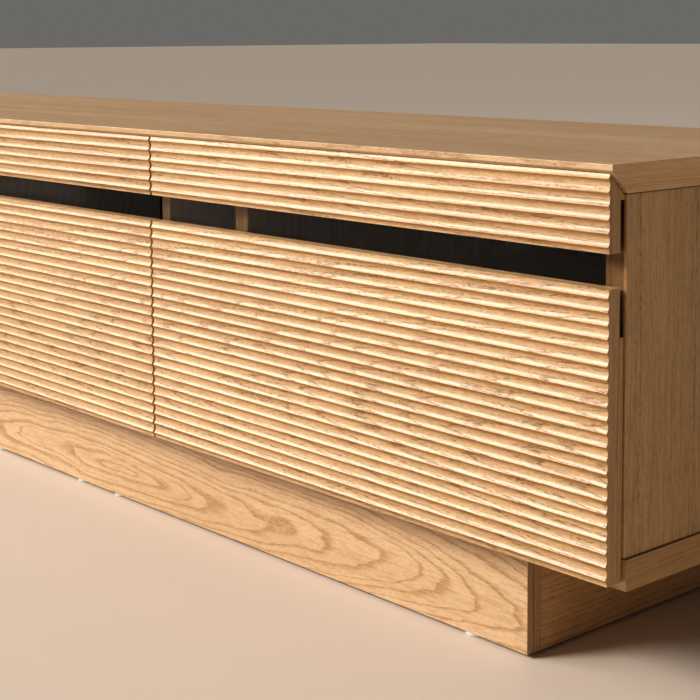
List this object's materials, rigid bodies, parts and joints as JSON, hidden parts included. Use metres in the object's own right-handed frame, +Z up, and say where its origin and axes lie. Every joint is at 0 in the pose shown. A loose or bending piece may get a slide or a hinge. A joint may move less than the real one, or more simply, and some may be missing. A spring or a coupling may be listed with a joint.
{
  "type": "media cabinet",
  "caption": "Low oak media cabinet on a recessed plinth, with drop-down scalloped doors that have a smoked-glass slot, and bays with shelves behind them.",
  "frame": {"origin": "on the floor under the middle of the cabinet's overall box", "axes": "+X to the right along the length, +Y to the back, +Z up; the doors face -Y"},
  "size_m": [2, 0.45, 0.465],
  "materials": {
    "oak_board": "satin oiled oak veneer",
    "oak_inner": "satin oak veneer, inside",
    "oak_plinth": "satin flat-sawn oak",
    "oak_scalloped": "satin scalloped solid oak",
    "softwood": "plain planed",
    "plywood": "thin veneered plywood",
    "smoked_glass": "smoked, polished",
    "hinge_steel": "satin nickel plated",
    "steel_plate": "zinc plated",
    "zinc_screw": "zinc plated",
    "cam_zinc": "die-cast zinc",
    "grommet_plastic": "moulded",
    "glide_plastic": "moulded",
    "catch_plastic": "moulded",
    "bumper_rubber": "soft clear pad"
  },
  "bodies": {
    "carcass": {"back_panel_left": "plywood", "back_panel_middle": "plywood", "back_panel_right": "plywood", "bottom_board": "oak_board", "cable_grommet_left": "grommet_plastic", "cable_grommet_middle": "grommet_plastic", "cable_grommet_right": "grommet_plastic", "cam_bolts": "zinc_screw", "cam_nuts": "cam_zinc", "divider_left": "oak_inner", "divider_right": "oak_inner", "dowels": "softwood", "floor_glides": "glide_plastic", "hinge_frame_leaves": "hinge_steel", "hinge_frame_screws": "zinc_screw", "hinge_pins": "hinge_steel", "magnet_catches": "catch_plastic", "partition_left": "oak_inner", "partition_right": "oak_inner", "plinth_back": "oak_plinth", "plinth_front": "oak_plinth", "plinth_rail_left": "softwood", "plinth_rail_right": "softwood", "plinth_screws": "zinc_screw", "plinth_side_left": "oak_plinth", "plinth_side_right": "oak_plinth", "shelf_left": "oak_inner", "shelf_middle": "oak_inner", "shelf_pins": "steel_plate", "shelf_right": "oak_inner", "side_panel_left": "oak_board", "side_panel_right": "oak_board", "top_board": "oak_board"},
    "door_left": {"door_strip_left": "oak_scalloped", "door_board_left": "oak_scalloped", "door_glass_left": "smoked_glass", "glass_screws_left": "zinc_screw", "strike_plates_left": "steel_plate", "door_bumpers_left": "bumper_rubber", "hinge_door_leaves_left": "hinge_steel", "door_screws_left": "zinc_screw"},
    "door_middle": {"door_strip_middle": "oak_scalloped", "door_board_middle": "oak_scalloped", "door_glass_middle": "smoked_glass", "glass_screws_middle": "zinc_screw", "strike_plates_middle": "steel_plate", "door_bumpers_middle": "bumper_rubber", "hinge_door_leaves_middle": "hinge_steel", "door_screws_middle": "zinc_screw"},
    "door_right": {"door_strip_right": "oak_scalloped", "door_board_right": "oak_scalloped", "door_glass_right": "smoked_glass", "glass_screws_right": "zinc_screw", "strike_plates_right": "steel_plate", "door_bumpers_right": "bumper_rubber", "hinge_door_leaves_right": "hinge_steel", "door_screws_right": "zinc_screw"}
  },
  "joints": [
    {"name": "door_left_hinge", "type": "hinge", "parent": "carcass", "child": "door_left", "pos_m": [-0.66533, -0.20325, 0.1062], "axis": [1, 0, 0], "range_deg": [0, 90]},
    {"name": "door_middle_hinge", "type": "hinge", "parent": "carcass", "child": "door_middle", "pos_m": [0, -0.20325, 0.1062], "axis": [1, 0, 0], "range_deg": [0, 90]},
    {"name": "door_right_hinge", "type": "hinge", "parent": "carcass", "child": "door_right", "pos_m": [0.66533, -0.20325, 0.1062], "axis": [1, 0, 0], "range_deg": [0, 90]}
  ]
}
